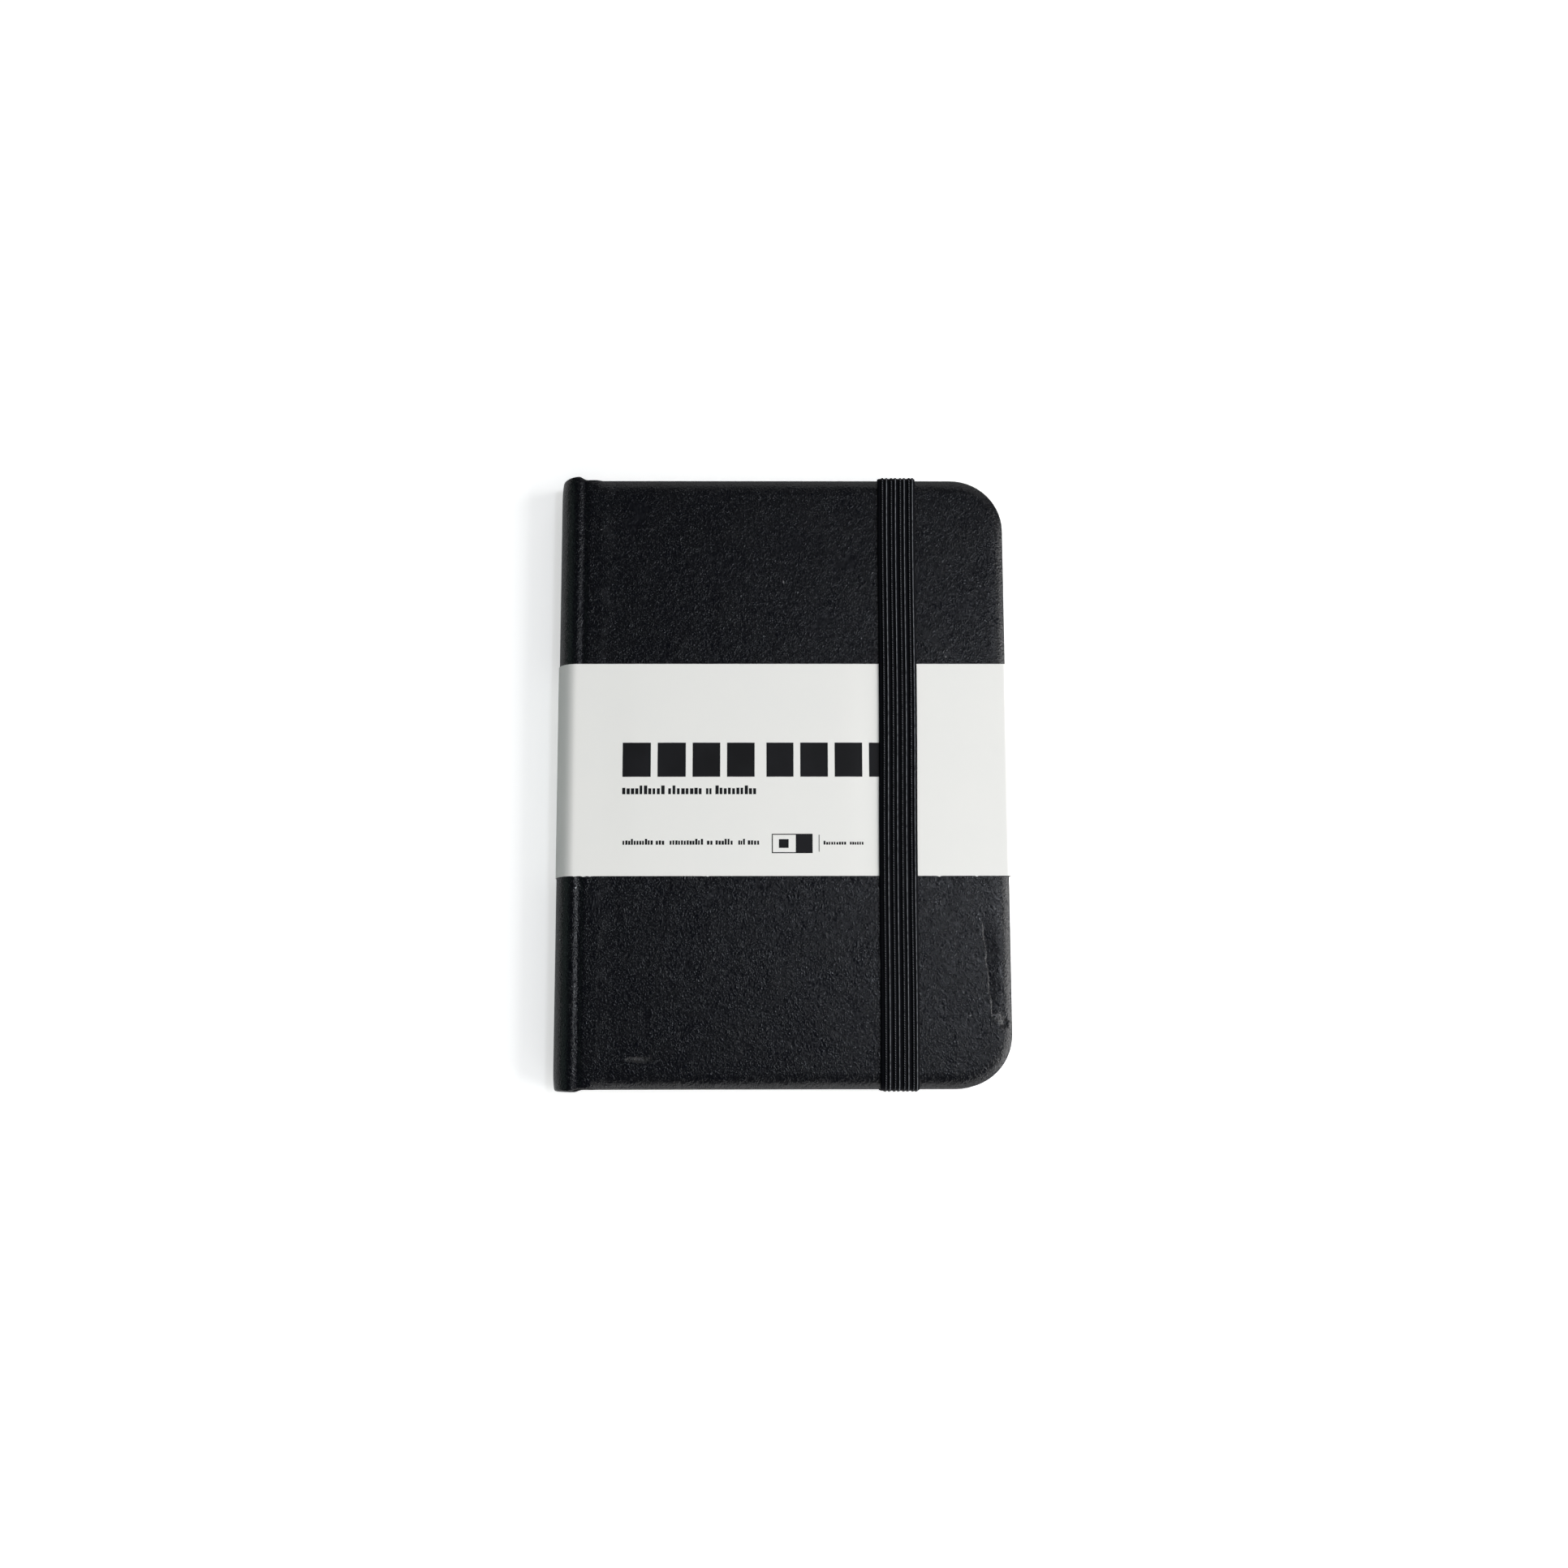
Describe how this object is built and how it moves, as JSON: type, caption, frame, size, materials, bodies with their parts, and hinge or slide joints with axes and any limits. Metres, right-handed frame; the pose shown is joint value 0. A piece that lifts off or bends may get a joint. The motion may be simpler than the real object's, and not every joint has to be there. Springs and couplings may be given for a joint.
{
  "type": "pocket notebook",
  "caption": "Notebook with dark leather-look covers, a rounded spine, a paper band round its middle and an elastic strap that holds it shut.",
  "frame": {"origin": "on the surface it lies on, under the middle of the closed notebook's outline", "axes": "+X from the spine to the fore edge, +Y from the tail to the head, +Z out of the front cover"},
  "size_m": [0.1542, 0.212, 0.0165],
  "materials": {
    "leather": "satin, fine pebbled grain",
    "board": "matte grey board",
    "spine_card": "matte grey card",
    "endpaper": "matte, uncoated",
    "page": "matte, uncoated cream",
    "lining": "open weave",
    "thread": "waxed thread",
    "headband": "woven",
    "band": "smooth coated paper, slight sheen",
    "strap": "ribbed woven elastic"
  },
  "bodies": {
    "text_block": {"spine_skin": "leather", "spine_card": "spine_card", "spine_lining": "lining", "sewing_thread": "thread", "headband": "headband", "tailband": "headband", "belly_band_spine": "band", "section_03": "page", "section_04": "page", "section_05": "page", "section_06": "page", "section_07": "page", "section_08": "page", "section_09": "page", "section_10": "page"},
    "front_cover": {"front_board": "board", "front_skin": "leather", "front_pastedown": "endpaper", "front_joint_skin": "leather", "belly_band_front": "band", "belly_band_front_fold": "band"},
    "back_cover": {"back_board": "board", "back_skin": "leather", "back_pastedown": "endpaper", "back_joint_skin": "leather", "belly_band_back": "band", "belly_band_back_fold": "band", "strap_end_head": "strap", "strap_end_tail": "strap"},
    "strap": {"strap_strand": "strap", "strap_leg_head": "strap", "strap_leg_tail": "strap"},
    "front_leaf": {"front_flyleaf": "endpaper"},
    "first_section": {"section_01": "page"},
    "second_section": {"section_02": "page"},
    "back_leaf": {"back_flyleaf": "endpaper"}
  },
  "joints": [
    {"name": "front_cover_hinge", "type": "hinge", "parent": "text_block", "child": "front_cover", "pos_m": [-0.07025, 0, 0.012], "axis": [0, -1, 0], "range_deg": [0, 180], "deforming": ["front_joint_skin", "belly_band_front_fold"]},
    {"name": "back_cover_hinge", "type": "hinge", "parent": "text_block", "child": "back_cover", "pos_m": [-0.07025, 0, 0.0035], "axis": [0, 1, 0], "range_deg": [0, 180], "deforming": ["back_joint_skin", "belly_band_back_fold"]},
    {"name": "front_leaf_turn", "type": "hinge", "parent": "text_block", "child": "front_leaf", "pos_m": [-0.07025, 0, 0.012], "axis": [0, -1, 0], "range_deg": [0, 174.6]},
    {"name": "first_section_turn", "type": "hinge", "parent": "text_block", "child": "first_section", "pos_m": [-0.07025, 0, 0.012], "axis": [0, -1, 0], "range_deg": [0, 169.2]},
    {"name": "second_section_turn", "type": "hinge", "parent": "text_block", "child": "second_section", "pos_m": [-0.07025, 0, 0.012], "axis": [0, -1, 0], "range_deg": [0, 163.8]},
    {"name": "back_leaf_turn", "type": "hinge", "parent": "text_block", "child": "back_leaf", "pos_m": [-0.07025, 0, 0.0035], "axis": [0, 1, 0], "range_deg": [0, 174.6]},
    {"name": "strap_slide", "type": "slide", "parent": "back_cover", "child": "strap", "axis": [1, 0, 0], "range_m": [0, 0.046], "deforming": ["strap_strand", "strap_leg_head", "strap_leg_tail"]}
  ],
  "couplings": [
    {"joint": "front_leaf_turn", "follows": "front_cover_hinge", "ratio": 0.97},
    {"joint": "first_section_turn", "follows": "front_cover_hinge", "ratio": 0.94},
    {"joint": "second_section_turn", "follows": "front_cover_hinge", "ratio": 0.91},
    {"joint": "back_leaf_turn", "follows": "back_cover_hinge", "ratio": 0.97}
  ]
}
